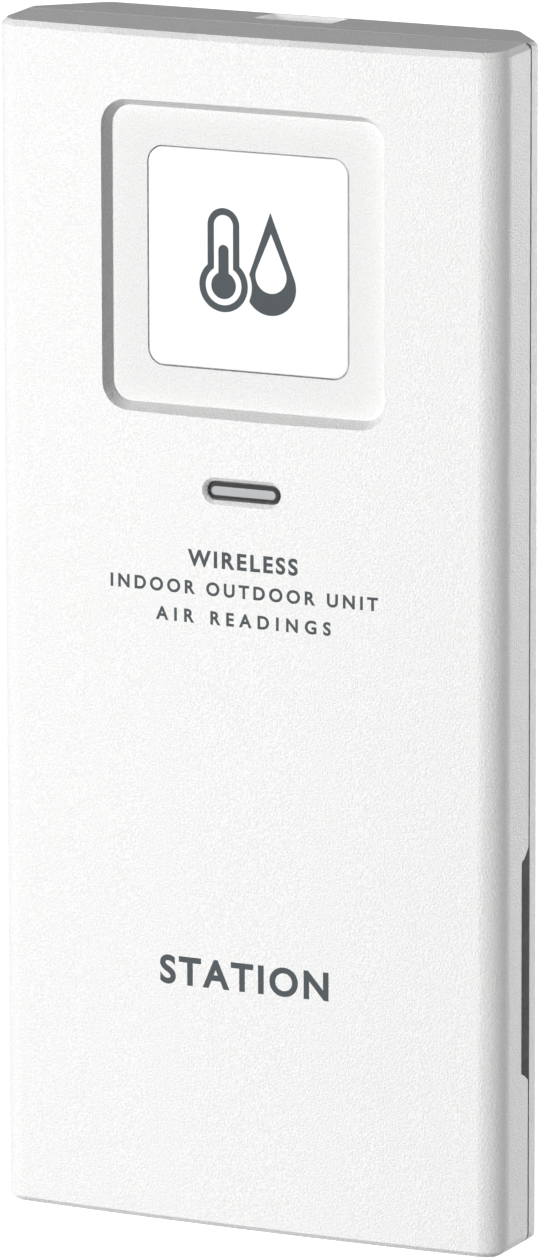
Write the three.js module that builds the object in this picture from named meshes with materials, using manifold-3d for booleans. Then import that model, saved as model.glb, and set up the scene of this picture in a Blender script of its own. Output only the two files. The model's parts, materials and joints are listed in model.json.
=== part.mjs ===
// Slim wireless temperature and humidity sensor: a two-piece plastic case on two AAA cells.
// Millimetres. X to the right, Y to the back, Z up. The origin is at the middle of the base.
// The case parts at an upright plane, the seam: the front case lies before it, and the rear
// case, with the battery bay, the controls and the wall-hanging pocket, lies behind it.

import * as THREE from 'three';
import { mergeVertices } from 'three/addons/utils/BufferGeometryUtils.js';
import Module from 'manifold-3d';

const wasm = await Module();
wasm.setup();

// ---------------------------------------------------------------- driving dimensions

// Whole case
const WIDTH = 57.3;
const HEIGHT = 125;
const DEPTH = 17;
const WALL = 1.8;
const FRONT_DEPTH = 7.9;          // crown of the face to the seam
const CROWN = 0.85;               // rise of the face's middle over its edges
const EDGE_RADIUS = 2.75;         // long front edges
const EDGE_CHAMFER = 0.57;        // top and bottom edges of the front case
const REAR_CHAMFER = 0.3;         // top and bottom edges of the rear case
const FRONT_FALL = 0.26;          // fall of the top from the seam to the face
const REAR_FALL = 0.29;           // fall of the top from the seam to the back
const TOP_CORNER = 0.6;           // corners seen from the front
const BOTTOM_CORNER = 1.3;
const BAND_DEPTH = 1.65;          // straight side of the rear case beside the seam
const TAPER_INSET = 5.3;          // each side draws in this much towards the back
const BACK_CORNER = 1.2;
const SEAM_GAP = 0.3;
const LIP = { fit: 0.15, thickness: 0.8, reach: 1.2, root: 1, corner: 0.5 };   // rear case's tongue

// Upright planes of the case
const FRONT_Y = -DEPTH / 2;
const BACK_Y = DEPTH / 2;
const SEAM_Y = FRONT_Y + FRONT_DEPTH;
const CROWN_RADIUS = (WIDTH * WIDTH / 4 + CROWN * CROWN) / (2 * CROWN);
const INSIDE_FRONT_Y = FRONT_Y + WALL;
const ROOT = 0.5;                 // how far ribs and posts run into the wall they stand on
const PAST = 1;                   // how far a cutter runs on past the solid that it cuts

// Square recess in the face, and the window plate in its floor
const RECESS = { size: 32.4, radius: 3, depth: 1.5, draft: 0.86, z: 101.5, backing: 2.2, margin: 1 };
const WINDOW = { size: 22.6, radius: 1.7, thickness: 0.9, fit: 0.12, bevel: 0.1 };
const RECESS_FLOOR_Y = FRONT_Y + RECESS.depth;

// Status light and its light pipe
const LIGHT = { x: 0, z: 77.82, width: 8.38, height: 2, ring: 0.43, sunk: 0.3, rim: 0.42 };
const PIPE = { fit: 0.14, flangeWidth: 9.6, flangeHeight: 3.6, flange: 0.75, stem: 5, foot: -2.95 };
const LED = { width: 3.2, height: 1.6, depth: 0.9, corner: 0.2 };

// Side vents, open to the seam, each with a slotted dust screen behind it
const VENT = { bottom: 17.5, top: 42.1, depth: 1.8, topSlope: 1.15, bottomSlope: 0.75, corner: 0.6 };
const SCREEN = { x: 25.3, thickness: 0.6, front: -5.9, back: 1, bottom: 14, top: 45, rows: 13, columns: 3 };
const SCREEN_SLOT = { height: 1.4, depth: 0.7, pitchZ: 2.2, pitchY: 1.2, y: -2.3 };

// Wall-hanging pocket, open at the top through a flared mouth, with a keyhole in the back face
const POCKET = { width: 7.2, front: 4.2, back: 7.15, bottom: 106, wall: 1.3 };
const MOUTH = { top: 124.8, depth: 1, flare: 0.75 };
const KEYHOLE = { z: 110.5, head: 7, neck: 4, neckTop: 118 };

// Battery door, hooked at its foot and held by a tongue at its head
const DOOR = { halfWidth: 14.6, bottom: 7, top: 73, thickness: 1.6, radius: 2, gap: 0.25, bevel: 0.2 };
const DOOR_FRAME = { reach: 1.6, depth: 3.4, seat: 0.1 };
const HOOK = { x: 12.9, width: 2.8, drop: 2.1, thickness: 1, behind: 0.3, root: 2, swing: 3.7 };
const TONGUE = { width: 8, front: 5.2, bottom: 70.6, top: 71.8 };
const GRIP = { count: 3, width: 10, height: 0.8, corner: 0.35, pitch: 2.2, depth: 0.4, fromTop: 4.5 };
const NOTCH = { width: 10, height: 5, radius: 2, depth: 1, overlap: 0.8 };
const DOOR_INNER_Y = BACK_Y - DOOR.thickness;

// Cells and the bay that holds them
const CELL = { radius: 5.25, length: 44.5, nub: 0.9, nubRadius: 1.9, edge: 0.4, x: 5.4 };
const BAY = { halfWidth: 11, bottom: 9.5, top: 61.5, wall: 1.2, doorGap: 0.35, floorGap: 0.2 };
const CELL_Y = DOOR_INNER_Y - BAY.doorGap - CELL.radius;
const BAY_FLOOR_Y = CELL_Y - CELL.radius - BAY.floorGap;
const PANEL = { front: 2.3, back: 3.5, top: 72.5 };

// Battery contacts
const CONTACT = { thickness: 0.3, front: -2.6, back: 4.5, inner: 1.4, outer: 10.8, gap: 0.05 };
const TAIL = { x: 9.8, width: 2, top: 67.5, slotWidth: 2.5, slotFront: -1, slotBack: 0 };
const SPRING = { wire: 0.3, turns: 4, baseRadius: 3.5, tipRadius: 2.3, stepsPerTurn: 12 };

// Boards
const BOARD = { front: -1.9, back: -0.7, halfWidth: 23.5, bottom: 64.5, top: 113 };
const BOARD_LEG = { left: 14, bottom: 20 };
const CLEAR = 0.05;               // least gap between two parts
const ON_BACK = BOARD.back + CLEAR;
const ON_FRONT = BOARD.front - CLEAR;

// Parts on the front of the main board
const CHIP = { x: -8, z: 95, size: 9, depth: 1.4, corner: 0.3, bevel: 0.15 };
const CHIP_LEG = { count: 8, pitch: 0.9, half: 0.22, reach: 1, depth: 0.3 };

// Parts on the back of the main board
const CRYSTAL = { x: -9, z: 90, width: 10.4, height: 4.2, back: 2.5, bevel: 0.3 };
const CAPACITOR = { x: -18.5, z: 84, radius: 2.4, length: 7, groove: 0.25, grooveAt: 1.2, edge: 0.3 };
const RADIO = { x: 11.5, z: 89.5, size: 15, thickness: 0.8, corner: 0.3 };
const SHIELD = { width: 12.5, height: 11.5, depth: 2, corner: 0.8, bevel: 0.25 };
const ANTENNA = { left: -20, z: 101, length: 16, radius: 2.2, wire: 0.4, turns: 8, stepsPerTurn: 14 };

// Air sensor, on a small board of its own behind the right-hand vent
const SENSOR_BOARD = { x: 20.6, thickness: 0.8, back: 4.4, bottom: 25, top: 37 };
const SENSOR_FACE_X = SENSOR_BOARD.x + SENSOR_BOARD.thickness;
const AIR_CHIP = { y: 2.2, z: 31, half: 1.5, thickness: 1, mouth: 0.6, mouthDepth: 0.4 };
const HEADER = { left: 18.5, y: 1.5, bottom: 27, top: 35, pins: 4, pin: 0.3, reach: 1.2 };

// Controls on the back of the main board, reached through the panel in the bay
const CONTROL_Z = 67.6;
const RESET = { x: -6, body: 4.5, corner: 0.4, top: 1.9, well: 1.1, wellRadius: 1.5 };
const RESET_STEM = { radius: 1.2, foot: 1.5, top: 4.4, bevel: 0.2, hole: 1.6 };
const CHANNEL = { x: 3.6, width: 8.5, height: 3.6, top: 1.6, well: 0.9, travel: 2, play: 0.2 };
const KNOB = { foot: 1.1, footTop: 2, post: 0.8, top: 4.3, low: 1, window: 0.3 };

// Screws
const CASE_SCREW = { x: 19.3, low: 7.5, high: 117.5, head: 2.2, shank: 1.1, headDepth: 1.5, length: 8 };
const HEAD_BEVEL = 0.3;
const CASE_POST = { radius: 2.6, hole: 1.25, back: 1.5, floor: 1 };
const CASE_SLEEVE = { radius: 3.2, front: 1.8, hole: 1.4, seat: 3.4, recess: 2.5 };
const BOARD_SCREW = { head: 1.9, shank: 0.85, headDepth: 1.2, length: 5 };
const BOARD_POST = { radius: 2.2, hole: 1, depth: 4.4 };
const BOARD_SCREW_PLACES = [{ side: 'left', x: -19.5, z: 70 }, { side: 'right', x: 19.5, z: 107 }];
const CROSS = { arm: 0.62, width: 0.3, depth: 0.7 };

// Smoothness
const ARC_STEPS = 5;
const ROUND_STEPS = 24;
const SMALL_ROUND_STEPS = 16;
const CELL_STEPS = 32;
const SAME_POINT = 1e-3;
const WELD = 1e-4;

// ---------------------------------------------------------------- materials

function plastic(color, roughness) {
  return () => new THREE.MeshStandardMaterial({ color, roughness, metalness: 0 });
}

function metal(color, roughness) {
  return () => new THREE.MeshStandardMaterial({ color, roughness, metalness: 1 });
}

const FINISH = {
  case: plastic('#f2f2f1', 0.6),
  window: plastic('#ffffff', 0.15),
  lightPipe: plastic('#b9bcbd', 0.25),
  board: plastic('#1f6b3a', 0.5),
  chip: plastic('#1b1b1d', 0.55),
  darkPlastic: plastic('#2a2b2d', 0.6),
  whitePart: plastic('#e8e6df', 0.5),
  steel: metal('#b8bbbe', 0.35),
  nickel: metal('#cfd0cd', 0.3),
  copper: metal('#b8693a', 0.35),
  cellJacket: plastic('#3c6f9c', 0.35),
};

// ---------------------------------------------------------------- solids

function toSolid(geometry) {
  const bare = geometry.clone();
  bare.deleteAttribute('normal');
  bare.deleteAttribute('uv');
  const merged = mergeVertices(bare, WELD);
  return new wasm.Manifold(new wasm.Mesh({
    numProp: 3,
    vertProperties: new Float32Array(merged.attributes.position.array),
    triVerts: new Uint32Array(merged.index.array),
  }));
}

function toGeometry(solid) {
  const mesh = solid.getMesh();
  const geometry = new THREE.BufferGeometry();
  geometry.setAttribute('position', new THREE.BufferAttribute(new Float32Array(mesh.vertProperties), 3));
  geometry.setIndex(new THREE.BufferAttribute(new Uint32Array(mesh.triVerts), 1));
  geometry.computeVertexNormals();
  return geometry;
}

// A box between two corners.
function block(x0, x1, y0, y1, z0, z1) {
  const geometry = new THREE.BoxGeometry(x1 - x0, y1 - y0, z1 - z0);
  geometry.translate((x0 + x1) / 2, (y0 + y1) / 2, (z0 + z1) / 2);
  return toSolid(geometry);
}

// A box that is the same on both sides of the plane at x.
function centredBlock(x, halfWidth, y0, y1, z0, z1) {
  return block(x - halfWidth, x + halfWidth, y0, y1, z0, z1);
}

// A round bar along Y.
function roundBar(x, z, radius, y0, y1, steps = ROUND_STEPS) {
  const geometry = new THREE.CylinderGeometry(radius, radius, y1 - y0, steps);
  geometry.translate(x, (y0 + y1) / 2, z);
  return toSolid(geometry);
}

// The outline as straight steps, with no point twice where one curve ends and the next starts.
function stepped(shape) {
  const points = shape.getPoints(ARC_STEPS);
  const kept = points.filter((point, i) => point.distanceTo(points.at(i - 1)) > SAME_POINT);
  return new THREE.Shape(kept);
}

// An outline extruded along Z, with an even chamfer inside the outline round both ends.
function extrude(shape, length, chamfer) {
  return new THREE.ExtrudeGeometry(stepped(shape), {
    depth: length - 2 * chamfer,
    bevelEnabled: chamfer > 0,
    bevelThickness: chamfer,
    bevelSize: chamfer,
    bevelOffset: -chamfer,
    bevelSegments: 1,
  }).translate(0, 0, chamfer);
}

// A plan outline (x, y) given height along Z.
function column(shape, z0, z1, chamfer = 0) {
  return extrude(shape, z1 - z0, chamfer).translate(0, 0, z0);
}

// A front-view outline (x, z) given thickness along Y.
function plate(shape, y0, y1, chamfer = 0) {
  return toSolid(extrude(shape, y1 - y0, chamfer).rotateX(Math.PI / 2).translate(0, y1, 0));
}

// A cutter for a drafted hollow in the face: the outline is the floor's, and the sides lean
// out from it by the draft over the depth, and on past the face.
function draftedCutter(shape, floorY, depth, draft) {
  const geometry = new THREE.ExtrudeGeometry(stepped(shape), {
    depth: 1,
    bevelEnabled: true,
    bevelThickness: 2 * depth,
    bevelSize: 2 * draft,
    bevelSegments: 1,
  });
  return toSolid(geometry.rotateX(Math.PI / 2).translate(0, floorY - 2 * depth, 0));
}

// A profile of [radius, height] points turned about an upright axis at (x, y).
function turned(profile, x, y, steps = ROUND_STEPS) {
  const points = profile.map(([radius, height]) => new THREE.Vector2(radius, height));
  return new THREE.LatheGeometry(points, steps).rotateX(Math.PI / 2).translate(x, y, 0);
}

function roundedOutline(width, height, topRadius, bottomRadius, x, z) {
  const right = x + width / 2;
  const left = x - width / 2;
  const top = z + height / 2;
  const bottom = z - height / 2;
  const quarter = Math.PI / 2;
  const shape = new THREE.Shape();
  shape.absarc(right - bottomRadius, bottom + bottomRadius, bottomRadius, -quarter, 0);
  shape.absarc(right - topRadius, top - topRadius, topRadius, 0, quarter);
  shape.absarc(left + topRadius, top - topRadius, topRadius, quarter, 2 * quarter);
  shape.absarc(left + bottomRadius, bottom + bottomRadius, bottomRadius, 2 * quarter, 3 * quarter);
  shape.closePath();
  return shape;
}

function roundedRectangle(width, height, radius, x, z) {
  return roundedOutline(width, height, radius, radius, x, z);
}

// A slot with fully round ends.
function pill(width, height, x, z) {
  const half = height / 2;
  const shape = new THREE.Shape();
  shape.absarc(x + width / 2 - half, z, half, -Math.PI / 2, Math.PI / 2);
  shape.absarc(x - width / 2 + half, z, half, Math.PI / 2, 1.5 * Math.PI);
  shape.closePath();
  return shape;
}

function circle(x, z, radius) {
  const shape = new THREE.Shape();
  shape.absarc(x, z, radius, 0, 2 * Math.PI);
  return shape;
}

// ---------------------------------------------------------------- case outlines

// Plan outline of the front case, moved in from the outer surface by the inset: a shallow
// crown, a rounded edge at each side, and straight sides to the rear.
function frontSection(inset, rearY) {
  const halfWidth = WIDTH / 2 - inset;
  const edge = EDGE_RADIUS - inset;
  const crown = CROWN_RADIUS - inset;
  const crownY = FRONT_Y + CROWN_RADIUS;
  const edgeX = halfWidth - edge;
  const lean = Math.asin(edgeX / (crown - edge));
  const edgeY = crownY - (crown - edge) * Math.cos(lean);
  const down = 1.5 * Math.PI;
  const shape = new THREE.Shape();
  shape.absarc(-edgeX, edgeY, edge, Math.PI, down - lean);
  shape.absarc(0, crownY, crown, down - lean, down + lean);
  shape.absarc(edgeX, edgeY, edge, down + lean, 2 * Math.PI);
  shape.lineTo(halfWidth, rearY);
  shape.lineTo(-halfWidth, rearY);
  shape.closePath();
  return shape;
}

// Plan outline of the rear case: a straight band, then sides that draw in to the back face.
function rearSection(inset, frontY) {
  const half = WIDTH / 2 - inset;
  const backHalf = half - TAPER_INSET;
  const backY = BACK_Y - inset;
  const bandY = SEAM_Y + BAND_DEPTH;
  const lean = Math.atan2(backY - bandY, TAPER_INSET);
  const cornerX = backHalf + BACK_CORNER * Math.cos(lean);
  const cornerY = backY - BACK_CORNER * Math.sin(lean);
  const shape = new THREE.Shape();
  shape.moveTo(-half, frontY);
  shape.lineTo(half, frontY);
  shape.lineTo(half, bandY);
  shape.lineTo(cornerX, cornerY);
  shape.quadraticCurveTo(backHalf, backY, backHalf - BACK_CORNER, backY);
  shape.lineTo(BACK_CORNER - backHalf, backY);
  shape.quadraticCurveTo(-backHalf, backY, -cornerX, cornerY);
  shape.lineTo(-half, bandY);
  shape.closePath();
  return shape;
}

// Lowers a solid's top in step with the distance from the seam, to the fall at the far side.
function slopeTop(geometry, fall, farY) {
  const place = geometry.attributes.position;
  for (let i = 0; i < place.count; i += 1) {
    const share = Math.max(0, (place.getY(i) - SEAM_Y) / (farY - SEAM_Y));
    if (place.getZ(i) > HEIGHT / 2) {
      place.setZ(i, place.getZ(i) - fall * share);
    }
  }
  return geometry;
}

// The whole case seen from the front, between two upright planes.
function envelope(y0, y1) {
  return plate(roundedOutline(WIDTH, HEIGHT, TOP_CORNER, BOTTOM_CORNER, 0, HEIGHT / 2), y0, y1);
}

// A cut for both side vents: straight along its deep edge, sloped at both ends.
function ventCutter() {
  const deep = SEAM_Y - VENT.depth;
  const rear = SEAM_Y - SEAM_GAP / 2 + CLEAR;
  const shape = new THREE.Shape();
  shape.moveTo(rear, VENT.bottom);
  shape.lineTo(rear, VENT.top);
  shape.lineTo(deep + VENT.corner, VENT.top - VENT.topSlope);
  shape.quadraticCurveTo(deep, VENT.top - VENT.topSlope, deep, VENT.top - VENT.topSlope - VENT.corner);
  shape.lineTo(deep, VENT.bottom + VENT.bottomSlope + VENT.corner);
  shape.quadraticCurveTo(
    deep, VENT.bottom + VENT.bottomSlope, deep + VENT.corner, VENT.bottom + VENT.bottomSlope,
  );
  shape.closePath();
  const geometry = extrude(shape, 2 * WIDTH, 0);
  return toSolid(geometry.rotateX(Math.PI / 2).rotateZ(Math.PI / 2).translate(-WIDTH, 0, 0));
}

function caseScrewPlaces() {
  const places = [];
  for (const [side, x] of [['left', -CASE_SCREW.x], ['right', CASE_SCREW.x]]) {
    for (const [level, z] of [['lower', CASE_SCREW.low], ['upper', CASE_SCREW.high]]) {
      places.push({ name: `${level}_${side}`, x, z });
    }
  }
  return places;
}

// ---------------------------------------------------------------- case pieces

function frontShell() {
  const bar = column(frontSection(0, SEAM_Y + ROOT), 0, HEIGHT, EDGE_CHAMFER);
  const whole = toSolid(slopeTop(bar, FRONT_FALL, FRONT_Y));
  const skin = whole.intersect(envelope(FRONT_Y - PAST, SEAM_Y - SEAM_GAP / 2));
  const hollow = toSolid(column(frontSection(WALL, SEAM_Y + PAST), WALL, HEIGHT - WALL));
  const reach = RECESS.size / 2 + RECESS.margin;
  const backing = centredBlock(
    0, reach, INSIDE_FRONT_Y - ROOT, RECESS_FLOOR_Y + RECESS.backing, RECESS.z - reach, RECESS.z + reach,
  );
  return skin.subtract(hollow).add(backing);
}

function recessCutter() {
  const floorSize = RECESS.size - 2 * RECESS.draft;
  const floor = roundedRectangle(floorSize, floorSize, RECESS.radius - RECESS.draft, 0, RECESS.z);
  return draftedCutter(floor, RECESS_FLOOR_Y, RECESS.depth, RECESS.draft);
}

function windowSeatCutter() {
  const size = WINDOW.size + 2 * WINDOW.fit;
  const seat = roundedRectangle(size, size, WINDOW.radius + WINDOW.fit, 0, RECESS.z);
  return plate(seat, RECESS_FLOOR_Y - PAST, RECESS_FLOOR_Y + WINDOW.thickness + CLEAR);
}

function lightCutter() {
  const slot = pill(LIGHT.width, LIGHT.height, LIGHT.x, LIGHT.z);
  const ring = draftedCutter(slot, FRONT_Y + LIGHT.ring, LIGHT.ring, LIGHT.ring);
  return ring.add(plate(slot, FRONT_Y - PAST, INSIDE_FRONT_Y + PAST));
}

function frontCase() {
  let solid = frontShell();
  for (const place of caseScrewPlaces()) {
    const post = roundBar(place.x, place.z, CASE_POST.radius, INSIDE_FRONT_Y - ROOT, CASE_POST.back);
    const hole = roundBar(place.x, place.z, CASE_POST.hole, INSIDE_FRONT_Y + CASE_POST.floor, BACK_Y);
    solid = solid.add(post).subtract(hole);
  }
  for (const place of BOARD_SCREW_PLACES) {
    const post = roundBar(place.x, place.z, BOARD_POST.radius, INSIDE_FRONT_Y - ROOT, ON_FRONT);
    const hole = roundBar(place.x, place.z, BOARD_POST.hole, ON_FRONT - BOARD_POST.depth, BACK_Y);
    solid = solid.add(post).subtract(hole);
  }
  const cutters = [recessCutter(), windowSeatCutter(), lightCutter(), ventCutter()];
  return cutters.reduce((left, cutter) => left.subtract(cutter), solid);
}

// A ring in front view between two insets from the case's outline.
function ring(outerInset, innerInset, y0, y1) {
  const [outer, inner] = [outerInset, innerInset].map((inset) => roundedRectangle(
    WIDTH - 2 * inset, HEIGHT - 2 * inset, LIP.corner, 0, HEIGHT / 2,
  ));
  return plate(outer, y0, y1).subtract(plate(inner, y0 - PAST, y1 + PAST));
}

function rearShell() {
  const bar = column(rearSection(0, SEAM_Y - PAST), 0, HEIGHT, REAR_CHAMFER);
  const whole = toSolid(slopeTop(bar, REAR_FALL, BACK_Y));
  const skin = whole.intersect(envelope(SEAM_Y + SEAM_GAP / 2, BACK_Y + PAST));
  const hollow = toSolid(column(rearSection(WALL, SEAM_Y - 2 * PAST), WALL, HEIGHT - WALL));
  const lipOuter = WALL + LIP.fit;
  const lipInner = lipOuter + LIP.thickness;
  const rootY = SEAM_Y + SEAM_GAP / 2;
  const lip = ring(lipOuter, lipInner, SEAM_Y - LIP.reach, rootY + LIP.root);
  const root = ring(WALL - ROOT, lipInner, rootY, rootY + LIP.root);
  return skin.subtract(hollow).add(lip).add(root);
}

// The walls of the bay, of the panel above it, and of the frame round the door.
function bayWalls() {
  const outer = BAY.halfWidth + BAY.wall;
  const back = BACK_Y - ROOT;
  const ceiling = BAY.top + BAY.wall;
  const frame = DOOR_FRAME.reach;
  const bay = centredBlock(0, outer, BAY_FLOOR_Y - BAY.wall, back, BAY.bottom - BAY.wall, ceiling);
  const tray = centredBlock(0, outer, PANEL.front, back, ceiling - BAY.wall, PANEL.top + BAY.wall);
  const rim = centredBlock(
    0, DOOR.halfWidth + frame, BACK_Y - DOOR_FRAME.depth, back, DOOR.bottom - frame, DOOR.top + frame,
  );
  return bay.add(tray).add(rim);
}

function doorRecessCutter() {
  const width = 2 * (DOOR.halfWidth + DOOR.gap);
  const height = DOOR.top - DOOR.bottom + 2 * DOOR.gap;
  const middle = (DOOR.top + DOOR.bottom) / 2;
  const outline = roundedRectangle(width, height, DOOR.radius + DOOR.gap, 0, middle);
  return plate(outline, DOOR_INNER_Y - DOOR_FRAME.seat, BACK_Y + PAST);
}

function bayCutters() {
  const ceiling = BAY.top + BAY.wall;
  const knobRoom = KNOB.post + KNOB.window;
  const notchZ = DOOR.top + NOTCH.height / 2 - NOTCH.overlap;
  const notch = roundedRectangle(NOTCH.width, NOTCH.height, NOTCH.radius, 0, notchZ);
  const cutters = [
    centredBlock(0, BAY.halfWidth, BAY_FLOOR_Y, BACK_Y, BAY.bottom, BAY.top),
    centredBlock(0, BAY.halfWidth, PANEL.back, BACK_Y, ceiling, PANEL.top),
    doorRecessCutter(),
    roundBar(RESET.x, CONTROL_Z, RESET_STEM.hole, PANEL.front - PAST, PANEL.back + PAST),
    centredBlock(
      CHANNEL.x, CHANNEL.travel + knobRoom, PANEL.front - PAST, PANEL.back + PAST,
      CONTROL_Z - knobRoom, CONTROL_Z + knobRoom,
    ),
    plate(notch, BACK_Y - NOTCH.depth, BACK_Y + PAST),
  ];
  for (const side of [-1, 1]) {
    cutters.push(centredBlock(
      side * TAIL.x, TAIL.slotWidth / 2, TAIL.slotFront, TAIL.slotBack, BAY.top - PAST, ceiling + PAST,
    ));
    cutters.push(centredBlock(
      side * HOOK.x, HOOK.width / 2 + HOOK.behind, BACK_Y - HOOK.swing, DOOR_INNER_Y - DOOR_FRAME.seat,
      DOOR.bottom - HOOK.drop - HOOK.behind, DOOR.bottom + HOOK.swing,
    ));
  }
  return cutters;
}

function hangingPocket() {
  const half = POCKET.width / 2;
  return centredBlock(
    0, half + POCKET.wall, POCKET.front - POCKET.wall, BACK_Y - ROOT, POCKET.bottom - POCKET.wall,
    HEIGHT - ROOT,
  );
}

// The pocket's mouth: its sides lean out by the flare on their way to the top, and on past it.
function mouthCutter() {
  const halfWidth = POCKET.width / 2;
  const halfDepth = (POCKET.back - POCKET.front) / 2;
  const geometry = new THREE.BoxGeometry(2, 2, 2);
  const place = geometry.attributes.position;
  for (let i = 0; i < place.count; i += 1) {
    const flare = place.getZ(i) > 0 ? 2 * MOUTH.flare : 0;
    const x = place.getX(i) * (halfWidth + flare);
    const y = place.getY(i) * (halfDepth + flare);
    place.setXYZ(i, x, POCKET.front + halfDepth + y, MOUTH.top + place.getZ(i) * MOUTH.depth);
  }
  return toSolid(geometry);
}

function hangingCutters() {
  const half = POCKET.width / 2;
  return [
    centredBlock(0, half, POCKET.front, POCKET.back, POCKET.bottom, HEIGHT + PAST),
    mouthCutter(),
    roundBar(0, KEYHOLE.z, KEYHOLE.head / 2, POCKET.back - PAST, BACK_Y + PAST),
    roundBar(0, KEYHOLE.neckTop, KEYHOLE.neck / 2, POCKET.back - PAST, BACK_Y + PAST),
    centredBlock(0, KEYHOLE.neck / 2, POCKET.back - PAST, BACK_Y + PAST, KEYHOLE.z, KEYHOLE.neckTop),
  ];
}

function rearCase() {
  let solid = rearShell().add(bayWalls()).add(hangingPocket());
  for (const place of caseScrewPlaces()) {
    solid = solid.add(roundBar(place.x, place.z, CASE_SLEEVE.radius, CASE_SLEEVE.front, BACK_Y - ROOT));
    solid = solid.subtract(roundBar(place.x, place.z, CASE_SLEEVE.hole, SEAM_Y, BACK_Y));
    solid = solid.subtract(roundBar(place.x, place.z, CASE_SLEEVE.recess, CASE_SLEEVE.seat, BACK_Y + PAST));
  }
  const cutters = [...bayCutters(), ...hangingCutters(), ventCutter()];
  return cutters.reduce((left, cutter) => left.subtract(cutter), solid);
}

function batteryDoor() {
  const height = DOOR.top - DOOR.bottom;
  const outline = roundedRectangle(2 * DOOR.halfWidth, height, DOOR.radius, 0, DOOR.bottom + height / 2);
  let solid = plate(outline, DOOR_INNER_Y, BACK_Y, DOOR.bevel);
  const hookBack = DOOR_INNER_Y - HOOK.behind;
  const hookFront = hookBack - HOOK.thickness;
  const hookFoot = DOOR.bottom - HOOK.drop;
  for (const side of [-1, 1]) {
    const x = side * HOOK.x;
    const half = HOOK.width / 2;
    solid = solid.add(centredBlock(x, half, hookFront, hookBack, hookFoot, DOOR.bottom + HOOK.root));
    solid = solid.add(centredBlock(
      x, half, hookFront, BACK_Y - ROOT, DOOR.bottom + ROOT, DOOR.bottom + HOOK.root,
    ));
  }
  solid = solid.add(centredBlock(
    0, TONGUE.width / 2, TONGUE.front, BACK_Y - ROOT, TONGUE.bottom, TONGUE.top,
  ));
  for (let i = 0; i < GRIP.count; i += 1) {
    const z = DOOR.top - GRIP.fromTop - i * GRIP.pitch;
    const groove = roundedRectangle(GRIP.width, GRIP.height, GRIP.corner, 0, z);
    solid = solid.subtract(plate(groove, BACK_Y - GRIP.depth, BACK_Y + PAST));
  }
  return solid;
}

function windowPlate() {
  const outline = roundedRectangle(WINDOW.size, WINDOW.size, WINDOW.radius, 0, RECESS.z);
  return plate(outline, RECESS_FLOOR_Y, RECESS_FLOOR_Y + WINDOW.thickness, WINDOW.bevel);
}

function lightPipe() {
  const faceY = FRONT_Y + LIGHT.sunk;
  const flangeFront = INSIDE_FRONT_Y + CLEAR;
  const flangeBack = flangeFront + PIPE.flange;
  const width = LIGHT.width - 2 * PIPE.fit;
  const height = LIGHT.height - 2 * PIPE.fit;
  const head = plate(pill(width, height, LIGHT.x, LIGHT.z), faceY, flangeBack, LIGHT.rim);
  const flange = plate(pill(PIPE.flangeWidth, PIPE.flangeHeight, LIGHT.x, LIGHT.z), flangeFront, flangeBack);
  const stem = centredBlock(
    LIGHT.x, PIPE.stem / 2, flangeBack - ROOT, PIPE.foot, LIGHT.z - height / 2, LIGHT.z + height / 2,
  );
  return head.add(flange).add(stem);
}

// A thin plate behind one side vent, with rows of slots that let the air in.
function ventScreen(side) {
  const half = SCREEN.thickness / 2;
  const x = side * SCREEN.x;
  const middle = (SCREEN.bottom + SCREEN.top) / 2;
  let solid = centredBlock(x, half, SCREEN.front, SCREEN.back, SCREEN.bottom, SCREEN.top);
  for (let row = 0; row < SCREEN.rows; row += 1) {
    const z = middle + (row - (SCREEN.rows - 1) / 2) * SCREEN_SLOT.pitchZ;
    for (let column = 0; column < SCREEN.columns; column += 1) {
      const y = SCREEN_SLOT.y + (column - (SCREEN.columns - 1) / 2) * SCREEN_SLOT.pitchY;
      solid = solid.subtract(centredBlock(
        x, half + PAST, y - SCREEN_SLOT.depth / 2, y + SCREEN_SLOT.depth / 2,
        z - SCREEN_SLOT.height / 2, z + SCREEN_SLOT.height / 2,
      ));
    }
  }
  return solid;
}

// ---------------------------------------------------------------- cells and contacts

// An AAA cell standing on the height z, with its nub up or down.
function cell(x, z, nubUp) {
  const shoulder = CELL.length - CELL.nub;
  const profile = [
    [0, 0],
    [CELL.radius - CELL.edge, 0],
    [CELL.radius, CELL.edge],
    [CELL.radius, shoulder - CELL.edge],
    [CELL.radius - CELL.edge, shoulder],
    [CELL.nubRadius, shoulder],
    [CELL.nubRadius, CELL.length],
    [0, CELL.length],
  ];
  const geometry = turned(profile, 0, 0, CELL_STEPS);
  if (!nubUp) {
    geometry.rotateY(Math.PI).translate(0, 0, CELL.length);
  }
  return geometry.translate(x, CELL_Y, z);
}

// A conical coil of round wire, wide at its base and narrow where it presses on the cell.
class CoilCurve extends THREE.Curve {
  constructor(centre, height, baseRadius, tipRadius, turns) {
    super();
    Object.assign(this, { centre, height, baseRadius, tipRadius, turns });
  }

  getPoint(t, target = new THREE.Vector3()) {
    const angle = 2 * Math.PI * this.turns * t;
    const radius = this.baseRadius + (this.tipRadius - this.baseRadius) * t;
    return target.set(
      this.centre.x + radius * Math.cos(angle),
      this.centre.y + radius * Math.sin(angle),
      this.centre.z + this.height * t,
    );
  }
}

function coil(curve, wire, stepsPerTurn) {
  return new THREE.ExtrudeGeometry(new THREE.Shape(circle(0, 0, wire).getPoints(2)), {
    steps: Math.round(curve.turns * stepsPerTurn),
    extrudePath: curve,
    bevelEnabled: false,
  });
}

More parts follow.
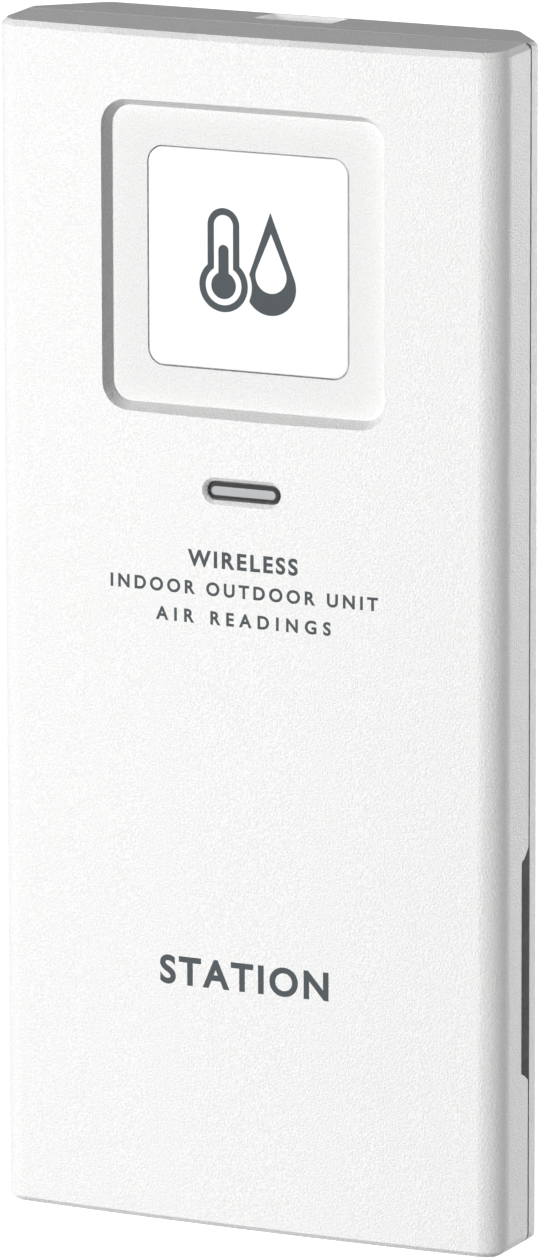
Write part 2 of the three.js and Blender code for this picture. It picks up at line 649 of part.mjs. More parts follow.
// A contact spring from its plate to the cell's flat end.
function contactSpring(x, plateZ, cellZ) {
  const direction = Math.sign(cellZ - plateZ);
  const clear = SPRING.wire + CONTACT.gap;
  const base = new THREE.Vector3(x, CELL_Y, plateZ + direction * clear);
  const height = cellZ - plateZ - 2 * direction * clear;
  const curve = new CoilCurve(base, height, SPRING.baseRadius, SPRING.tipRadius, SPRING.turns);
  return coil(curve, SPRING.wire, SPRING.stepsPerTurn);
}

const TOP_CONTACT_Z = BAY.top - CONTACT.gap - CONTACT.thickness;
const BOTTOM_CONTACT_Z = BAY.bottom + CONTACT.gap + CONTACT.thickness;
const LEFT_CELL_Z = TOP_CONTACT_Z - CONTACT.gap - CELL.length;
const RIGHT_CELL_Z = BOTTOM_CONTACT_Z + CONTACT.gap;

// A contact at the head of the bay, with its tail soldered to the main board.
function topContact(side) {
  const [near, far] = [CONTACT.inner, CONTACT.outer].map((x) => side * x).sort((a, b) => a - b);
  const z1 = TOP_CONTACT_Z + CONTACT.thickness;
  const pad = block(near, far, CONTACT.front, CONTACT.back, TOP_CONTACT_Z, z1);
  const tail = centredBlock(
    side * TAIL.x, TAIL.width / 2, ON_BACK, ON_BACK + CONTACT.thickness, TOP_CONTACT_Z, TAIL.top,
  );
  return pad.add(tail);
}

function bridgeContact() {
  const z0 = BOTTOM_CONTACT_Z - CONTACT.thickness;
  return centredBlock(0, CONTACT.outer, CONTACT.front, CONTACT.back, z0, BOTTOM_CONTACT_Z);
}

// ---------------------------------------------------------------- boards and their parts

function mainBoard() {
  const body = centredBlock(0, BOARD.halfWidth, BOARD.front, BOARD.back, BOARD.bottom, BOARD.top);
  const leg = block(
    BOARD_LEG.left, BOARD.halfWidth, BOARD.front, BOARD.back, BOARD_LEG.bottom, BOARD.bottom + ROOT,
  );
  const holes = BOARD_SCREW_PLACES.map(
    ({ x, z }) => roundBar(x, z, BOARD_POST.hole, BOARD.front - PAST, BOARD.back + PAST, SMALL_ROUND_STEPS),
  );
  return holes.reduce((left, hole) => left.subtract(hole), body.add(leg));
}

function statusLed() {
  const outline = roundedRectangle(LED.width, LED.height, LED.corner, LIGHT.x, LIGHT.z);
  return plate(outline, ON_FRONT - LED.depth, ON_FRONT);
}

// A square chip on the board's front, with a row of legs along each side.
function microcontroller() {
  const half = CHIP.size / 2;
  const reach = half + CHIP_LEG.reach;
  const legFront = ON_FRONT - CHIP_LEG.depth;
  const outline = roundedRectangle(CHIP.size, CHIP.size, CHIP.corner, CHIP.x, CHIP.z);
  let solid = plate(outline, ON_FRONT - CHIP.depth, ON_FRONT, CHIP.bevel);
  for (let i = 0; i < CHIP_LEG.count; i += 1) {
    const along = (i - (CHIP_LEG.count - 1) / 2) * CHIP_LEG.pitch;
    const z = CHIP.z + along;
    solid = solid.add(centredBlock(CHIP.x, reach, legFront, ON_FRONT, z - CHIP_LEG.half, z + CHIP_LEG.half));
    solid = solid.add(centredBlock(
      CHIP.x + along, CHIP_LEG.half, legFront, ON_FRONT, CHIP.z - reach, CHIP.z + reach,
    ));
  }
  return solid;
}

function clockCrystal() {
  const outline = pill(CRYSTAL.width, CRYSTAL.height, CRYSTAL.x, CRYSTAL.z);
  return plate(outline, ON_BACK, CRYSTAL.back, CRYSTAL.bevel);
}

// A capacitor lying upright along the board, with the rolled groove of its can.
function capacitor() {
  const can = CAPACITOR;
  const profile = [
    [0, 0],
    [can.radius - can.edge, 0],
    [can.radius, can.edge],
    [can.radius, can.grooveAt],
    [can.radius - can.groove, can.grooveAt + can.groove],
    [can.radius, can.grooveAt + 2 * can.groove],
    [can.radius, can.length - can.edge],
    [can.radius - can.edge, can.length],
    [0, can.length],
  ];
  return turned(profile, can.x, ON_BACK + can.radius).translate(0, 0, can.z);
}

function radioModule() {
  const outline = roundedRectangle(RADIO.size, RADIO.size, RADIO.corner, RADIO.x, RADIO.z);
  return plate(outline, ON_BACK, ON_BACK + RADIO.thickness);
}

function radioShield() {
  const outline = roundedRectangle(SHIELD.width, SHIELD.height, SHIELD.corner, RADIO.x, RADIO.z);
  const front = ON_BACK + RADIO.thickness + CLEAR;
  return plate(outline, front, front + SHIELD.depth, SHIELD.bevel);
}

// A coil of copper wire that lies across the board.
function antenna() {
  const { left, z, length, radius, wire, turns, stepsPerTurn } = ANTENNA;
  const curve = new CoilCurve(new THREE.Vector3(), length, radius, radius, turns);
  const upright = coil(curve, wire, stepsPerTurn);
  return upright.rotateY(Math.PI / 2).translate(left, ON_BACK + radius + wire, z);
}

function sensorBoard() {
  return block(
    SENSOR_BOARD.x, SENSOR_FACE_X, ON_BACK, SENSOR_BOARD.back, SENSOR_BOARD.bottom, SENSOR_BOARD.top,
  );
}

// The sensor chip, with the small round mouth that lets the air in.
function humiditySensor() {
  const { y, z, half, thickness, mouth, mouthDepth } = AIR_CHIP;
  const x0 = SENSOR_FACE_X + CLEAR;
  const x1 = x0 + thickness;
  const body = block(x0, x1, y - half, y + half, z - half, z + half);
  const hole = new THREE.CylinderGeometry(mouth, mouth, 2 * mouthDepth, SMALL_ROUND_STEPS);
  return body.subtract(toSolid(hole.rotateZ(Math.PI / 2).translate(x1, y, z)));
}

function sensorHeader() {
  const { left, y, bottom, top, pins, pin, reach } = HEADER;
  const pitch = (top - bottom) / pins;
  let solid = block(left, SENSOR_BOARD.x - CLEAR, ON_BACK, y, bottom, top);
  for (let i = 0; i < pins; i += 1) {
    const z = bottom + (i + 0.5) * pitch;
    solid = solid.add(block(left - reach, left + ROOT, ON_BACK, ON_BACK + pin, z - pin, z + pin));
  }
  return solid;
}

// ---------------------------------------------------------------- controls

function resetSwitchBody() {
  const outline = roundedRectangle(RESET.body, RESET.body, RESET.corner, RESET.x, CONTROL_Z);
  const well = roundBar(RESET.x, CONTROL_Z, RESET.wellRadius, RESET.well, RESET.top + PAST);
  return plate(outline, ON_BACK, RESET.top).subtract(well);
}

function resetButton() {
  const stem = circle(RESET.x, CONTROL_Z, RESET_STEM.radius);
  return plate(stem, RESET_STEM.foot, RESET_STEM.top, RESET_STEM.bevel);
}

function channelSwitchBody() {
  const reach = CHANNEL.travel + KNOB.foot + CHANNEL.play;
  const side = KNOB.post + CHANNEL.play;
  const half = CHANNEL.height / 2;
  const body = centredBlock(
    CHANNEL.x, CHANNEL.width / 2, ON_BACK, CHANNEL.top, CONTROL_Z - half, CONTROL_Z + half,
  );
  return body.subtract(centredBlock(
    CHANNEL.x, reach, CHANNEL.well, CHANNEL.top + PAST, CONTROL_Z - side, CONTROL_Z + side,
  ));
}

function channelKnob() {
  const z0 = CONTROL_Z - KNOB.post;
  const z1 = CONTROL_Z + KNOB.post;
  const foot = centredBlock(CHANNEL.x, KNOB.foot, KNOB.low, KNOB.footTop, z0, z1);
  const post = centredBlock(CHANNEL.x, KNOB.post, KNOB.low, KNOB.top, z0, z1);
  return foot.add(post);
}

// ---------------------------------------------------------------- screws

// A pan-head screw along Y, driven from the back: its head's underside is at seatY.
function screw(x, z, size, seatY) {
  const top = seatY + size.headDepth;
  const head = plate(circle(x, z, size.head), seatY, top, HEAD_BEVEL);
  const shank = roundBar(x, z, size.shank, seatY - size.length, seatY + ROOT, SMALL_ROUND_STEPS);
  const long = size.head * CROSS.arm;
  const slots = [
    centredBlock(x, long, top - CROSS.depth, top + PAST, z - CROSS.width, z + CROSS.width),
    centredBlock(x, CROSS.width, top - CROSS.depth, top + PAST, z - long, z + long),
  ];
  return slots.reduce((left, slot) => left.subtract(slot), head.add(shank));
}

// ---------------------------------------------------------------- assembly

const sensor = new THREE.Group();

function add(name, form, finish) {
  const geometry = form instanceof THREE.BufferGeometry ? form : toGeometry(form);
  const mesh = new THREE.Mesh(geometry, finish());
  mesh.name = name;
  sensor.add(mesh);
}

add('front_case', frontCase(), FINISH.case);
add('rear_case', rearCase(), FINISH.case);
add('battery_door', batteryDoor(), FINISH.case);
add('window_plate', windowPlate(), FINISH.window);
add('light_pipe', lightPipe(), FINISH.lightPipe);
add('vent_screen_left', ventScreen(-1), FINISH.darkPlastic);
add('vent_screen_right', ventScreen(1), FINISH.darkPlastic);

add('main_board', mainBoard(), FINISH.board);
add('status_led', statusLed(), FINISH.whitePart);
add('microcontroller', microcontroller(), FINISH.chip);
add('clock_crystal', clockCrystal(), FINISH.steel);
add('capacitor', capacitor(), FINISH.darkPlastic);
add('radio_module', radioModule(), FINISH.board);
add('radio_shield', radioShield(), FINISH.nickel);
add('antenna', antenna(), FINISH.copper);
add('sensor_board', sensorBoard(), FINISH.board);
add('humidity_sensor', humiditySensor(), FINISH.chip);
add('sensor_header', sensorHeader(), FINISH.darkPlastic);

add('reset_switch_body', resetSwitchBody(), FINISH.darkPlastic);
add('reset_button', resetButton(), FINISH.whitePart);
add('channel_switch_body', channelSwitchBody(), FINISH.steel);
add('channel_knob', channelKnob(), FINISH.darkPlastic);

add('cell_left', cell(-CELL.x, LEFT_CELL_Z, true), FINISH.cellJacket);
add('cell_right', cell(CELL.x, RIGHT_CELL_Z, false), FINISH.cellJacket);
add('positive_contact', topContact(-1), FINISH.nickel);
add('negative_contact', topContact(1), FINISH.nickel);
add('bridge_contact', bridgeContact(), FINISH.nickel);
add('lower_spring', contactSpring(-CELL.x, BOTTOM_CONTACT_Z, LEFT_CELL_Z), FINISH.nickel);
add('upper_spring', contactSpring(CELL.x, TOP_CONTACT_Z, RIGHT_CELL_Z + CELL.length), FINISH.nickel);

for (const place of caseScrewPlaces()) {
  const seatY = CASE_SLEEVE.seat + CLEAR;
  add(`case_screw_${place.name}`, screw(place.x, place.z, CASE_SCREW, seatY), FINISH.steel);
}
for (const place of BOARD_SCREW_PLACES) {
  add(`board_screw_${place.side}`, screw(place.x, place.z, BOARD_SCREW, ON_BACK), FINISH.steel);
}

export default sensor;
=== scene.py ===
"""Looks of a slim wireless temperature and humidity sensor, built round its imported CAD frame.

Metres throughout, in the frame of the part: X to the right, Y to the back, Z up.
"""

import json
import math

import bmesh
import bpy
from mathutils import Matrix, Vector

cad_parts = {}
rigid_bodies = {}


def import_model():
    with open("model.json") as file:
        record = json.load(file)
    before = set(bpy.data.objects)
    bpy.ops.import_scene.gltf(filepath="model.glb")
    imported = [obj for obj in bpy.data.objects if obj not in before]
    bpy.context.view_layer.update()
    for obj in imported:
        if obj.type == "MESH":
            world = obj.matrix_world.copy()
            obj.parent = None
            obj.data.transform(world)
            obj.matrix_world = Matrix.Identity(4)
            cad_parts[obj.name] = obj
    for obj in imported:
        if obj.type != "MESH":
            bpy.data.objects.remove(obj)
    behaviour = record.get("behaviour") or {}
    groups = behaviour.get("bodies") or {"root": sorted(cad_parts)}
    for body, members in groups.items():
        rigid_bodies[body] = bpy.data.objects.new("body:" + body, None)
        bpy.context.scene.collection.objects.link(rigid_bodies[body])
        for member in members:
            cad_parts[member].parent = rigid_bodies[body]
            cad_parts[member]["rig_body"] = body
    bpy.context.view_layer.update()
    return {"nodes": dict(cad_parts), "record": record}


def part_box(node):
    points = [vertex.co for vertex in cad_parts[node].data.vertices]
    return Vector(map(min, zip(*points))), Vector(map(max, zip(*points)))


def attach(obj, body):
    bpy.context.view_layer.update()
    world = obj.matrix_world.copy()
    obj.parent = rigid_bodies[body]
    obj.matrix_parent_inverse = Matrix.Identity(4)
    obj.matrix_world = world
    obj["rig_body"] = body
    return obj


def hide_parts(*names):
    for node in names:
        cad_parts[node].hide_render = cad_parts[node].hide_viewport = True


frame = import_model()

MM = 0.001

# ---------------------------------------------------------------- driving values

# Camera: degrees to the right of straight ahead, above level and of roll, then metres away,
# lens and sensor in millimetres, nearest and farthest metres seen, and the point it aims at
CAMERA_TURN = 25.94
CAMERA_RISE = 11.945
CAMERA_ROLL = -0.141
CAMERA_DISTANCE = 1.0889
CAMERA_LENS = 303.0
CAMERA_SENSOR = 36
CAMERA_NEAR = 0.01
CAMERA_FAR = 100
CAMERA_AIM = Vector((-0.61, -0.95, 62.26)) * MM

# Softboxes: azimuth and elevation in degrees, side in metres, level of light at the object
LAMP_DISTANCE = 2.0
LAMP_CENTRE = Vector((0, 0, 62.5)) * MM
SOFTBOXES = {
    "key": (-24, 6, 0.8, 1.33),
    "right": (105, 0, 0.5, 0.52),
    "rear": (161, 0, 0.5, 0.38),
    "top": (180, 74, 0.4, 0.32),
}

# Floor
FLOOR_HALF = 20
FLOOR_GREY = 0.9
FLOOR_ROUGHNESS = 0.9
FLOOR_GLOW = 1.0

# Ink film: how far it stands on a surface and sinks into it
INK_PROUD = 0.003 * MM
INK_SUNK = 0.012 * MM

# Lettering on the crowned face: its added weight, then for each line
# its words, the height of its middle, its width and its capital height.
# The words do without the letter M, because the font's M closes up at this weight.
CROWN_RADIUS = 483.2 * MM
LETTER_WEIGHT = 0.031
LETTERING = {
    "letters_top": ("WIRELESS", 70.65 * MM, 12.5 * MM, 1.8 * MM),
    "letters_middle": ("INDOOR OUTDOOR UNIT", 67.55 * MM, 30.4 * MM, 1.45 * MM),
    "letters_lower": ("AIR READINGS", 64.55 * MM, 19.9 * MM, 1.45 * MM),
    "letters_foot": ("STATION", 27.0 * MM, 19.3 * MM, 3.1 * MM),
}

# Thermometer and drop on the window plate; the drop's hole is its x, z, radius and top
TUBE_X = -2.77 * MM
TUBE_HALF = 1.8 * MM
TUBE_TOP = 106.9 * MM
BULB_Z = 98.9 * MM
BULB_RADIUS = 2.75 * MM
STROKE = 0.72 * MM
STEM_HALF = 0.58 * MM
STEM_TOP = 103.1 * MM
STEM_BULB = 1.4 * MM
DROP_X = 2.54 * MM
DROP_Z = 99.05 * MM
DROP_RADIUS = 2.89 * MM
DROP_TOP = 106.8 * MM
DROP_HOLE = (2.6 * MM, 100.2 * MM, 1.75 * MM, 104.6 * MM)
DROP_GAP = 0.45 * MM
ARC_STEPS = 32

# Spans of a noise or pointiness value that are spread over a whole change
WIDE_SPAN = (0.3, 0.7)
NARROW_SPAN = (0.35, 0.65)
HAZE_SPAN = (0.3, 0.8)
STAIN_SPAN = (0.35, 0.7)
EDGE_SPAN = (0.52, 0.6)

# Octaves of noise
PLAIN_DETAIL = 1.0
SOFT_DETAIL = 2.0
RICH_DETAIL = 3.0
FULL_DETAIL = 4.0

# Moulded plastic: sizes, shares of the colour, and changes of roughness
CLOUD_SIZE = 14 * MM
CLOUD_SHADE = 0.985
GRAIN_SIZE = 0.2 * MM
GRAIN_DEPTH = 0.08 * MM
GRAIN_SHADE = 0.9
GRAIN_ROUGHENS = 0.04
EDGE_POLISH = 0.7
PLASTIC_SPECULAR = 0.25
FINE_GRAIN = 0.1 * MM
DARK_GRAIN_DEPTH = 0.006 * MM
DARK_ROUGHNESS = 0.5
WHITE_GRAIN_DEPTH = 0.004 * MM
WHITE_ROUGHNESS = 0.4

# Case finish: share of the record's colour on the outside and in the recess, the lower one painted shade,
# roughness, and a glow of painted light in the flared mouth of the hanging pocket
CASE_SHADE = 0.89
# The recess's lower share is painted shade.
RECESS_PAINTED_SHADE = 0.82
CASE_ROUGHNESS = 0.68
# Painted light: the pocket's mouth glows in its own material.
POCKET_PAINTED_LIGHT = 0.3

# Window
WINDOW_SHADE = 0.87
WINDOW_ROUGHNESS = 0.1
HAZE_SIZE = 6 * MM
HAZE_SHADE = 0.99
HAZE_ROUGHENS = 1.6
WINDOW_RIPPLE = 2.5 * MM
FILM_DEPTH = 0.002 * MM

# Ink
INK_COLOUR = (0.078, 0.09, 0.098)
INK_ROUGHNESS = 0.75
INK_ROUGHNESS_SPREAD = (0.65, 0.85)
INK_SPECULAR = 0.1
INK_MESH = 0.12 * MM
INK_SHADES = (0.9, 1.1)

# Light pipe, its sides painted near black as shade
PIPE_SHADE = 0.64
PIPE_SIDE_PAINTED_SHADE = (0.06, 0.06, 0.063)
PIPE_CLOUD = 1.5 * MM
PIPE_CLOUD_SHADE = 0.93
PIPE_ROUGHNESS = 0.35
PIPE_ROUGHNESS_SPREAD = (0.3, 0.42)
PIPE_SPECULAR = 0.3
PIPE_RIPPLE = 0.3 * MM

# Circuit board
TRACE_PITCH = 2.2 * MM
TRACE_SPAN = (0.05, 0.09)
PAD_PITCH = 3.1 * MM
PAD_SPAN = (0.16, 0.2)
PAD_COLOUR = (0.62, 0.6, 0.55)
WEAVE_SIZE = 0.5 * MM
MASK_SHADES = (0.75, 1.5)
WEAVE_SHADE = 0.6
WEAVE_SHARE = 0.3
BOARD_ROUGHNESS = 0.35
BOARD_ROUGHNESS_SPREAD = (0.28, 0.42)
TRACE_DEPTH = 0.03 * MM

# Chip epoxy
GRIT_SIZE = 0.07 * MM
GRIT_SHADES = (0.8, 1.5)
EPOXY_ROUGHNESS = 0.6
EPOXY_ROUGHNESS_SPREAD = (0.5, 0.7)
GRIT_DEPTH = 0.01 * MM

# Metals: roughness and how far their marks are drawn out along X, Y and Z, then marks and stains
CELL_END_FINISH = (0.2, (1, 1, 1))
STEEL_FINISH = (0.3, (6, 1, 1))
NICKEL_FINISH = (0.22, (1, 1, 8))
COPPER_FINISH = (0.25, (1, 6, 1))
MARK_SIZE = 0.05 * MM
STAIN_SIZE = 1.6 * MM
STAIN_SHADE = 0.82
MARK_ROUGHENS = 0.08
STAIN_ROUGHENS = 1.3
MARK_DEPTH = 0.004 * MM

# Cell jackets
JACKET_ROUGHNESS = 0.25
JACKET_ROUGHNESS_SPREAD = (0.18, 0.34)
CRINKLE_SIZE = 1.2 * MM
CRINKLE_STRETCH = (1, 1, 6)
CRINKLE_DEPTH = 0.02 * MM
BAND_COLOUR = (0.62, 0.62, 0.6)
BAND_TOP = 20 * MM
BAND_BLUR = 0.2 * MM

# Rounding of edges: width on the three case parts and on the others, steps, least angle
CASE_EDGE = 0.07 * MM
CASE_NODES = ("front_case", "rear_case", "battery_door")
SMALL_EDGE = 0.04 * MM
EDGE_STEPS = 2
SHARP_ANGLE = math.radians(30)

# Wires, smoothed in place of rounded edges
WIRE_NODES = ("antenna", "lower_spring", "upper_spring")
WIRE_SMOOTHING = 2

# Points closer than this, in metres, are one; faces that meet at less than this angle are joined
SAME_POINT = 1e-7
FLAT_ANGLE = math.radians(0.3)

# Trims: how far a face leans before it counts as leaning, or as facing one way, and the slack
# in finding a plane. The recess's trim starts a skin below the face and reaches a margin past
# the window. The pocket's mouth has a half width and a depth. The bare end of a cell takes
# this share of its radius.
LEANING = 0.3
FACING = 0.95
SAME_PLANE = 0.02 * MM
RECESS_SKIN = 0.3 * MM
RECESS_MARGIN = 4.9 * MM
MOUTH_HALF = 5 * MM
MOUTH_DEPTH = 1.5 * MM
BARE_END = 0.95

# Places taken from the CAD frame
NODE_SLOTS = {row["node"]: row["material_slot"] for row in frame["record"]["subparts"]}
FACE_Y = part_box("front_case")[0].y
MOUTH_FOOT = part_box("rear_case")[1].z - MOUTH_DEPTH
WINDOW_LOW, WINDOW_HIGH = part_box("window_plate")
WINDOW_FRONT = WINDOW_LOW.y
RECESS_LEFT = WINDOW_LOW.x - RECESS_MARGIN
RECESS_RIGHT = WINDOW_HIGH.x + RECESS_MARGIN
RECESS_FOOT = WINDOW_LOW.z - RECESS_MARGIN
CELL_LOW, CELL_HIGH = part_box("cell_right")
CELL_X = (CELL_LOW.x + CELL_HIGH.x) / 2
CELL_Y = (CELL_LOW.y + CELL_HIGH.y) / 2
CELL_RADIUS = (CELL_HIGH.x - CELL_LOW.x) / 2

# ---------------------------------------------------------------- camera, light and floor

def toward(azimuth, elevation):
    """The direction from the object to a place seen from it at this azimuth and elevation."""
    turn = math.radians(azimuth)
    rise = math.radians(elevation)
    level = math.cos(rise)
    return Vector((math.sin(turn) * level, -math.cos(turn) * level, math.sin(rise)))


def make_camera():
    """The camera, at the angle of the photograph."""
    back = toward(CAMERA_TURN, CAMERA_RISE)
    data = bpy.data.cameras.new("camera")
    data.lens = CAMERA_LENS
    data.sensor_width = CAMERA_SENSOR
    data.clip_start = CAMERA_NEAR
    data.clip_end = CAMERA_FAR
    camera = bpy.data.objects.new("camera", data)
    camera.location = CAMERA_AIM + back * CAMERA_DISTANCE
    camera.rotation_mode = "QUATERNION"
    level = (-back).to_track_quat("-Z", "Y")
    camera.rotation_quaternion = level @ Matrix.Rotation(math.radians(CAMERA_ROLL), 3, "Z").to_quaternion()
    bpy.context.scene.collection.objects.link(camera)
    bpy.context.scene.camera = camera


def softbox(name, azimuth, elevation, size, level):
    """A square lamp whose light at the object keeps to the level, however far off it stands."""
    direction = toward(azimuth, elevation)
    data = bpy.data.lights.new(name, "AREA")
    data.shape = "SQUARE"
    data.size = size
    data.energy = level * (math.pi * LAMP_DISTANCE) ** 2
    lamp = bpy.data.objects.new(name, data)
    lamp.location = LAMP_CENTRE + direction * LAMP_DISTANCE
    lamp.rotation_mode = "QUATERNION"
    lamp.rotation_quaternion = (-direction).to_track_quat("-Z", "Y")
    bpy.context.scene.collection.objects.link(lamp)


def make_studio():
    """The softboxes, and a white world that the camera sees but that lights nothing."""
    for name, place in SOFTBOXES.items():
        softbox(name, *place)
    world = bpy.data.worlds.new("studio")
    world.use_nodes = True
    background = world.node_tree.nodes["Background"]
    background.inputs["Color"].default_value = (1, 1, 1, 1)
    background.inputs["Strength"].default_value = 1
    bpy.context.scene.world = world
    world.cycles_visibility.diffuse = False
    world.cycles_visibility.glossy = False
    bpy.context.scene.view_settings.view_transform = "Standard"


def make_floor():
    """A pale glowing floor that blocks no lamp, and gives the object reflections but no light."""
    side = FLOOR_HALF
    mesh = bpy.data.meshes.new("floor")
    corners = [(-side, -side, 0), (side, -side, 0), (side, side, 0), (-side, side, 0)]
    mesh.from_pydata(corners, [], [(0, 1, 2, 3)])
    material = bpy.data.materials.new("pale_floor")
    material.use_nodes = True
    shader = material.node_tree.nodes["Principled BSDF"]
    shader.inputs["Base Color"].default_value = (FLOOR_GREY, FLOOR_GREY, FLOOR_GREY, 1)
    shader.inputs["Roughness"].default_value = FLOOR_ROUGHNESS
    shader.inputs["Emission Color"].default_value = (1, 1, 1, 1)
    shader.inputs["Emission Strength"].default_value = FLOOR_GLOW
    mesh.materials.append(material)
    floor = bpy.data.objects.new("floor", mesh)
    floor.visible_diffuse = False
    floor.visible_shadow = False
    bpy.context.scene.collection.objects.link(floor)


# ---------------------------------------------------------------- shader graphs

# Sockets of the colour Mix node, whose names are the same for every kind of value
MIX_FIRST = 6
MIX_SECOND = 7
MIX_RESULT = 2


class Graph:
    """A material's node tree, with short calls that add nodes and join them."""

    def __init__(self, name, roughness, metallic=0.0):
        self.material = bpy.data.materials.new(name)
        self.material.use_nodes = True
        self.tree = self.material.node_tree
        self.shader = self.tree.nodes["Principled BSDF"]
        self.set("Roughness", roughness)
        self.set("Metallic", metallic)
        self.place = self.tree.nodes.new("ShaderNodeTexCoord").outputs["Object"]

    def set(self, socket, value):
        """Feeds one of the surface shader's sockets."""
        self.feed(self.shader, socket, value)

    def feed(self, node, socket, value):
        """Gives a socket a fixed number or colour, or another node's output."""
        if isinstance(value, bpy.types.NodeSocket):
            self.tree.links.new(value, node.inputs[socket])
        else:
            node.inputs[socket].default_value = value

    def stretched(self, along):
        """Coordinates in which a texture's features are drawn out by these factors."""
        node = self.tree.nodes.new("ShaderNodeMapping")
        self.feed(node, "Vector", self.place)
        node.inputs["Scale"].default_value = [1 / factor for factor in along]
        return node.outputs["Vector"]

    def noise(self, size, detail=SOFT_DETAIL, place=None):
        """Noise from 0 to 1, with features of this size in metres."""
        node = self.tree.nodes.new("ShaderNodeTexNoise")
        self.feed(node, "Vector", place or self.place)
        node.inputs["Scale"].default_value = 1 / size
        node.inputs["Detail"].default_value = detail
        return node.outputs["Fac"]

    def cells(self, size, feature="F1"):
        """Distances in a pattern of cells of this size in metres."""
        node = self.tree.nodes.new("ShaderNodeTexVoronoi")
        node.feature = feature
        self.feed(node, "Vector", self.place)
        node.inputs["Scale"].default_value = 1 / size
        return node.outputs["Distance"]

    def spread(self, value, span, start=0, end=1):
        """The value, its span drawn out to run from start to end."""
        node = self.tree.nodes.new("ShaderNodeMapRange")
        self.feed(node, "Value", value)
        limits = {"From Min": span[0], "From Max": span[1], "To Min": start, "To Max": end}
        for socket, number in limits.items():
            node.inputs[socket].default_value = number
        return node.outputs["Result"]

    def blend(self, factor, first, second):
        """A colour from first to second as the factor goes from 0 to 1."""
        node = self.tree.nodes.new("ShaderNodeMix")
        node.data_type = "RGBA"
        self.feed(node, "Factor", factor)
        for index, colour in ((MIX_FIRST, first), (MIX_SECOND, second)):
            if not isinstance(colour, bpy.types.NodeSocket):
                colour = (*colour, 1)
            self.feed(node, index, colour)
        return node.outputs[MIX_RESULT]

    def math(self, operation, first, second):
        """Two values put together by one operation."""
        node = self.tree.nodes.new("ShaderNodeMath")
        node.operation = operation
        for index, value in enumerate((first, second)):
            self.feed(node, index, value)
        return node.outputs["Value"]

    def bump(self, height, depth):
        """Raises the surface by the height's share of the depth in metres."""
        node = self.tree.nodes.new("ShaderNodeBump")
        node.inputs["Strength"].default_value = 1
        node.inputs["Distance"].default_value = depth
        self.feed(node, "Height", height)
        self.set("Normal", node.outputs["Normal"])

    def edges(self):
        """1 on convex edges, falling to 0 on flat faces."""
        pointed = self.tree.nodes.new("ShaderNodeNewGeometry").outputs["Pointiness"]
        return self.spread(pointed, EDGE_SPAN)

    def axis(self, name):
        """One coordinate of the place, in metres."""
        node = self.tree.nodes.new("ShaderNodeSeparateXYZ")
        self.feed(node, "Vector", self.place)
        return node.outputs[name]


def shade(colour, factor):
    """A colour made darker or paler by a factor."""
    return tuple(channel * factor for channel in colour)


def grained_plastic(name, colour, roughness, grain=GRAIN_SIZE, depth=GRAIN_DEPTH, painted_light=0.0):
    """Moulded plastic with a fine spark-eroded grain, slightly polished on its edges."""
    graph = Graph(name, roughness)
    graph.set("Specular IOR Level", PLASTIC_SPECULAR)
    # The glow is painted light; only the pocket's mouth is given any.
    graph.set("Emission Color", (*colour, 1))
    graph.set("Emission Strength", painted_light)
    cloud = graph.noise(CLOUD_SIZE)
    speckle = graph.noise(grain, detail=PLAIN_DETAIL)
    base = graph.blend(graph.spread(cloud, WIDE_SPAN), shade(colour, CLOUD_SHADE), colour)
    base = graph.blend(graph.spread(speckle, NARROW_SPAN), base, shade(colour, GRAIN_SHADE))
    graph.set("Base Color", base)
    worn = graph.spread(graph.edges(), (0, 1), roughness, roughness * EDGE_POLISH)
    pitted = graph.spread(speckle, WIDE_SPAN, -GRAIN_ROUGHENS, GRAIN_ROUGHENS)
    graph.set("Roughness", graph.math("ADD", worn, pitted))
    graph.bump(speckle, depth)
    return graph.material


def glossy_plate(name, colour, roughness):
    """Polished plastic with faint handling haze."""
    graph = Graph(name, roughness)
    haze = graph.noise(HAZE_SIZE, detail=FULL_DETAIL)
    base = graph.blend(graph.spread(haze, WIDE_SPAN), shade(colour, HAZE_SHADE), colour)
    graph.set("Base Color", base)
    graph.set("Roughness", graph.spread(haze, HAZE_SPAN, roughness, roughness * HAZE_ROUGHENS))
    graph.bump(graph.noise(WINDOW_RIPPLE), FILM_DEPTH)
    return graph.material


def ink(name, colour):
    """Matt screen-printed ink, with the faint mesh of the screen in its film."""
    graph = Graph(name, INK_ROUGHNESS)
    graph.set("Specular IOR Level", INK_SPECULAR)
    film = graph.noise(INK_MESH)
    thin, thick = (shade(colour, factor) for factor in INK_SHADES)
    graph.set("Base Color", graph.blend(graph.spread(film, WIDE_SPAN), thin, thick))
    graph.set("Roughness", graph.spread(film, WIDE_SPAN, *INK_ROUGHNESS_SPREAD))
    graph.bump(film, FILM_DEPTH)
    return graph.material


def smoked_plastic(name, colour):
    """Smoky clear plastic, cloudy inside."""
    graph = Graph(name, PIPE_ROUGHNESS)
    graph.set("Specular IOR Level", PIPE_SPECULAR)
    cloud = graph.noise(PIPE_CLOUD)
    base = graph.blend(graph.spread(cloud, WIDE_SPAN), shade(colour, PIPE_CLOUD_SHADE), colour)
    graph.set("Base Color", base)
    graph.set("Roughness", graph.spread(cloud, WIDE_SPAN, *PIPE_ROUGHNESS_SPREAD))
    graph.bump(graph.noise(PIPE_RIPPLE), FILM_DEPTH)
    return graph.material


